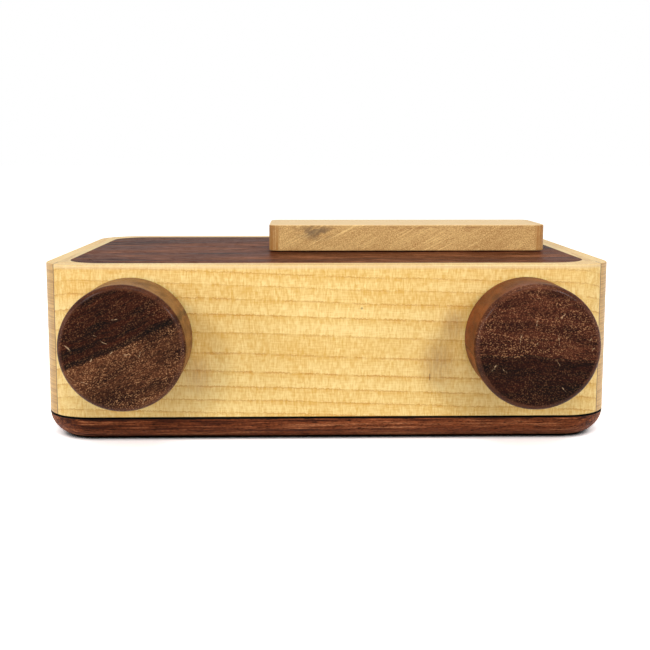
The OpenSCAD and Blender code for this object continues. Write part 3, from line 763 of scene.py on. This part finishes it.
def add_back_felts():
    """Felt strip in the seam and felt pad behind the film, with its sight hole."""
    def lay(flat, height):
        return flat.x, MIDDLE_Y + flat.y, height

    low, high = (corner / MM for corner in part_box("light_gasket"))
    width, depth = high.x - low.x, high.y - low.y
    inner = rounded_rectangle(width - 2 * GASKET_STRIP, depth - 2 * GASKET_STRIP, CUT_CORNER,
                              run_points=40, bend_points=6)
    outer = rounded_rectangle(width, depth, GASKET_CORNER, run_points=40, bend_points=6)
    add_felt("seam_felt_strip", "light_gasket", "back", inner, outer, low.z, high.z, lay, flats=4)

    low, high = (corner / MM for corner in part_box("pressure_felt"))
    outer = rounded_rectangle(high.x - low.x, high.y - low.y, CUT_CORNER, run_points=60, bend_points=4)
    inner = [point.normalized() * SIGHT_RADIUS for point in outer]
    add_felt("pressure_felt_pad", "pressure_felt", "back", inner, outer, low.z, high.z, lay, flats=24)


def add_tripod_thread():
    """Brass bush with a chamfered mouth and a real inside thread."""
    low, high = (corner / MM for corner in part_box("tripod_bush"))
    radius, length, axis_z = (high.x - low.x) / 2, high.y - low.y, (low.z + high.z) / 2
    turns = circle(1, ROUND_POINTS)

    def thread(depth, angle_share):
        climb = (depth / THREAD_PITCH + angle_share) % 1
        groove = min(max(GROOVE_PEAK - abs(climb - 0.5) * GROOVE_FALL, 0), 1)
        mouth = THREAD_MAJOR + BUSH_CHAMFER - (length - depth) * MOUTH_CHAMFER
        return max(THREAD_MINOR + (THREAD_MAJOR - THREAD_MINOR) * groove, mouth)

    rows = [(BUSH_CHAMFER, radius), (length - BUSH_CHAMFER, radius), (length, radius - BUSH_CHAMFER)]
    steps = math.ceil(length / THREAD_PITCH * THREAD_ROWS)
    rows += [(length * (1 - step / steps), None) for step in range(steps + 1)]
    rows += [(0, radius - BUSH_CHAMFER)]
    rings = []
    for depth, reach in rows:
        ring = []
        for index, turn in enumerate(turns):
            out = reach or thread(depth, index / len(turns))
            ring.append((turn.x * out, low.y + depth, axis_z + turn.y * out))
        rings.append(ring)
    add_piece("tripod_thread", [rings], BRASS, "camera_body", "tripod_bush")


def add_clamp_screws():
    """Round-headed slotted screws that hold the pinhole's clamp, with their heads down."""
    low, high = (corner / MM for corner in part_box("clamp_screws"))
    slot_end = SCREW_HEAD * math.sqrt(SLOT_DEPTH / HEAD_CROWN)
    turns = circle(1, SCREW_POINTS)

    def domed(reach):
        return reach, low.z + HEAD_CROWN * (reach / SCREW_HEAD) ** 2

    def section(turn):
        """Distances from the axis and heights of a screw's rings in one direction, from slot to tip."""
        slot = min(SLOT_HALF / max(abs(turn.y), SLOT_HALF / slot_end), slot_end)
        under = low.z + HEAD_THICK
        crown = [domed(slot + (SCREW_HEAD - slot) * share) for share in CROWN_STEPS]
        return [(SLOT_TAPER * slot, low.z + SLOT_DEPTH)] + crown + [
            (SCREW_HEAD, under), (SCREW_SHANK, under),
            (SCREW_SHANK, high.z - SCREW_TIP), (SCREW_TIP, high.z)]

    sections = [section(turn) for turn in turns]
    middles = [Vector((x, y)) for x in (low.x + SCREW_HEAD, high.x - SCREW_HEAD)
               for y in (low.y + SCREW_HEAD, high.y - SCREW_HEAD)]
    skins = []
    for index, middle in enumerate(middles):
        spokes = [Matrix.Rotation(index * SLOT_TURN, 2) @ turn for turn in turns]
        skins.append([[(*(middle + spoke * reach), height) for spoke, (reach, height) in zip(spokes, row)]
                      for row in zip(*sections)])
    add_piece("slotted_screws", skins, BRASS, "camera_body", "clamp_screws", capped=True)


# Camera, light and floor

# The photograph's viewpoint, in the units that the names give, with angles in radians
PHOTO_PIXELS = 650
SENSOR_MM = 36
FOCAL_PIXELS = 1009.07
AXIS_PIXEL_Y = 280.0
EYE_MM = Vector((-6.03, -262.30, 65.65))
YAW = 0.02252
PITCH = 0.12273
ROLL = 0.00092
CLIP_START_M = 0.01

# Soft lamps: place and size across in metres, and power in watts
LAMP_TARGET = Vector((0, 0, 0.02))
LAMPS = {"key": ((0.00, -0.35, 0.70), 0.5, 1.6),
         "left_front": ((-0.44, -0.68, 0.34), 0.2, 1.65),
         "right_front": ((0.44, -0.68, 0.34), 0.2, 1.9),
         "left_side": ((-0.65, -0.35, 0.14), 0.4, 1.5),
         "right_side": ((0.65, -0.35, 0.14), 0.4, 0.7)}

# Strength and colour of the even light from all round
WORLD_LIGHT = 0.5
WHITE = (1, 1, 1, 1)

# The floor in metres, its two greys, and the openness at which a crevice is black and is clear
FLOOR_REACH = 6.0
FLOOR_DROP = 0.0001
FLOOR_LIGHTS = 0.35
FLOOR_SEEN = 2.1
CREVICE_REACH = 0.004
CREVICE_SHADE = (0.1, 0.36)


def add_camera():
    """Camera at the photograph's viewpoint, whose optical axis is off the picture's middle."""
    data = bpy.data.cameras.new("camera")
    data.sensor_width = SENSOR_MM
    data.lens = FOCAL_PIXELS * SENSOR_MM / PHOTO_PIXELS
    data.shift_y = (AXIS_PIXEL_Y - PHOTO_PIXELS / 2) / PHOTO_PIXELS
    data.clip_start = CLIP_START_M
    turn = Matrix.Rotation(-YAW, 4, "Z") @ Matrix.Rotation(math.pi / 2 - PITCH, 4, "X")
    camera = bpy.data.objects.new("camera", data)
    camera.matrix_world = Matrix.Translation(EYE_MM * MM) @ turn @ Matrix.Rotation(ROLL, 4, "Z")
    bpy.context.scene.collection.objects.link(camera)
    bpy.context.scene.camera = camera


def add_lamps():
    """Round soft lamps turned to the object."""
    for name, (place, size, power) in LAMPS.items():
        data = bpy.data.lights.new(name, "AREA")
        data.shape = "DISK"
        data.size = size
        data.energy = power
        lamp = bpy.data.objects.new(name, data)
        lamp.location = place
        lamp.rotation_euler = (LAMP_TARGET - Vector(place)).to_track_quat("-Z", "Y").to_euler()
        bpy.context.scene.collection.objects.link(lamp)


def seen_directly(tree):
    """1 for rays from the camera, mirrors and glass, and 0 for rays that light a surface."""
    path = tree.nodes.new("ShaderNodeLightPath")
    seen = path.outputs["Is Camera Ray"]
    for name in ("Is Glossy Ray", "Is Transmission Ray"):
        either = tree.nodes.new("ShaderNodeMath")
        either.operation = "MAXIMUM"
        tree.links.new(seen, either.inputs[0])
        tree.links.new(path.outputs[name], either.inputs[1])
        seen = either.outputs[0]
    return seen


def add_world():
    """Even light from all round that is seen as white."""
    world = bpy.data.worlds.new("studio")
    world.use_nodes = True
    tree = world.node_tree
    lit = tree.nodes["Background"]
    lit.inputs["Strength"].default_value = WORLD_LIGHT
    lit.inputs["Color"].default_value = WHITE
    white = tree.nodes.new("ShaderNodeBackground")
    white.inputs["Color"].default_value = WHITE
    pick = tree.nodes.new("ShaderNodeMixShader")
    tree.links.new(seen_directly(tree), pick.inputs[0])
    tree.links.new(lit.outputs[0], pick.inputs[1])
    tree.links.new(white.outputs[0], pick.inputs[2])
    tree.links.new(pick.outputs[0], tree.nodes["World Output"].inputs["Surface"])
    bpy.context.scene.world = world


def add_floor():
    """Pale floor that lights the object as one grey and is seen as a whiter one, shadow and all."""
    mesh = bpy.data.meshes.new("floor")
    signs = ((-1, -1), (1, -1), (1, 1), (-1, 1))
    mesh.from_pydata([(x * FLOOR_REACH, y * FLOOR_REACH, 0) for x, y in signs], [], [(0, 1, 2, 3)])
    floor = bpy.data.objects.new("floor", mesh)
    floor.location.z = -FLOOR_DROP
    material = bpy.data.materials.new("floor_white")
    material.use_nodes = True
    tree = material.node_tree
    pick = tree.nodes.new("ShaderNodeMixShader")
    tree.links.new(seen_directly(tree), pick.inputs[0])
    crevice = tree.nodes.new("ShaderNodeAmbientOcclusion")
    crevice.inputs["Distance"].default_value = CREVICE_REACH
    dark, clear = CREVICE_SHADE
    for socket, grey in zip(pick.inputs[1:], (FLOOR_LIGHTS, FLOOR_SEEN)):
        shade = tree.nodes.new("ShaderNodeMapRange")
        shade.interpolation_type = "SMOOTHSTEP"
        tree.links.new(crevice.outputs["AO"], shade.inputs["Value"])
        for name, value in (("From Min", dark), ("From Max", clear), ("To Max", grey)):
            shade.inputs[name].default_value = value
        cover = tree.nodes.new("ShaderNodeBsdfDiffuse")
        tree.links.new(shade.outputs["Result"], cover.inputs["Color"])
        tree.links.new(cover.outputs[0], socket)
    tree.links.new(pick.outputs[0], tree.nodes["Material Output"].inputs["Surface"])
    mesh.materials.append(material)
    bpy.context.scene.collection.objects.link(floor)


dress_woods()
dress_fittings()
add_washers()
add_back_felts()
add_tripod_thread()
add_clamp_screws()
add_camera()
add_lamps()
add_world()
add_floor()
bpy.context.scene.view_settings.view_transform = "Standard"
